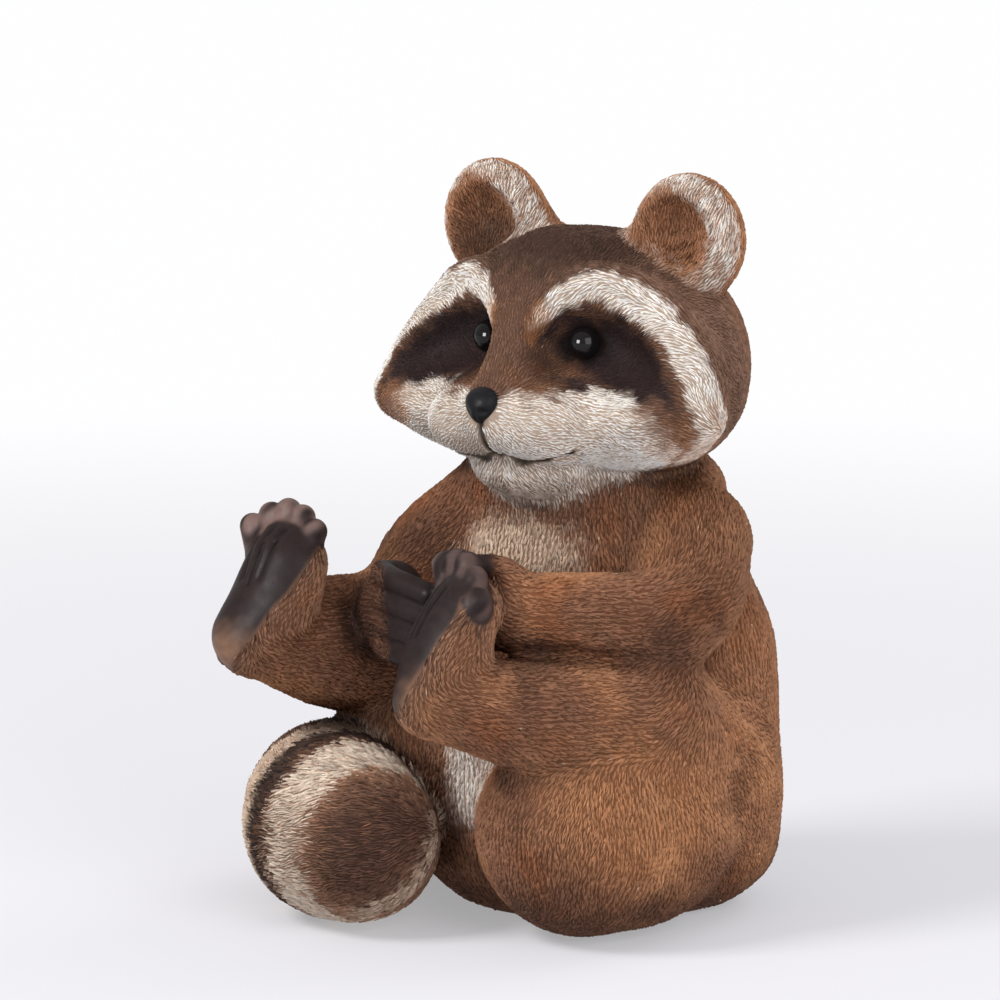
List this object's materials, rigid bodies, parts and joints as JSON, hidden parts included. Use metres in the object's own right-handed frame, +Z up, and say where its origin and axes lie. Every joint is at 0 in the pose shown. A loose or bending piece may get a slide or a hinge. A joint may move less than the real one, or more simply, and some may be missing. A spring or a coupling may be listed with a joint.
{
  "type": "raccoon statue",
  "caption": "Seated raccoon statue in painted cast resin with carved fur, a dark eye mask, hind feet raised, hands held at a foot and a ringed tail curled round to the front.",
  "frame": {"origin": "centre of the bounding box's base, on the surface the statue sits on", "axes": "+Z up through the ears, -Y the way the raccoon faces, +X its own left side"},
  "size_m": [0.197, 0.196, 0.2827],
  "materials": {
    "body_fur_paint": "painted cast resin with carved fur: warm brown, dark wash in the grooves, tan dry-brushed ridges",
    "face_fur_paint": "painted cast resin with fine carved fur: brown forehead, cream brow bands and muzzle, purplish-black mask",
    "tail_fur_paint": "painted cast resin with carved fur in cream and dark brown rings",
    "paw_paint": "smooth semi-gloss charcoal paint, worn lighter on the toes",
    "nose_paint": "satin charcoal paint",
    "eye_gloss": "polished black dome"
  },
  "bodies": {
    "root": {"ear_left": "face_fur_paint", "ear_right": "face_fur_paint", "eye_left": "eye_gloss", "eye_right": "eye_gloss", "foot_left": "paw_paint", "foot_right": "paw_paint", "forearm_left": "body_fur_paint", "forearm_right": "body_fur_paint", "hand_left": "paw_paint", "hand_right": "paw_paint", "head": "face_fur_paint", "neck": "body_fur_paint", "nose": "nose_paint", "shin_left": "body_fur_paint", "shin_right": "body_fur_paint", "tail_base": "tail_fur_paint", "tail_middle": "tail_fur_paint", "tail_tip": "tail_fur_paint", "thigh_left": "body_fur_paint", "thigh_right": "body_fur_paint", "trunk": "body_fur_paint", "upper_arm_left": "body_fur_paint", "upper_arm_right": "body_fur_paint"}
  },
  "joints": []
}
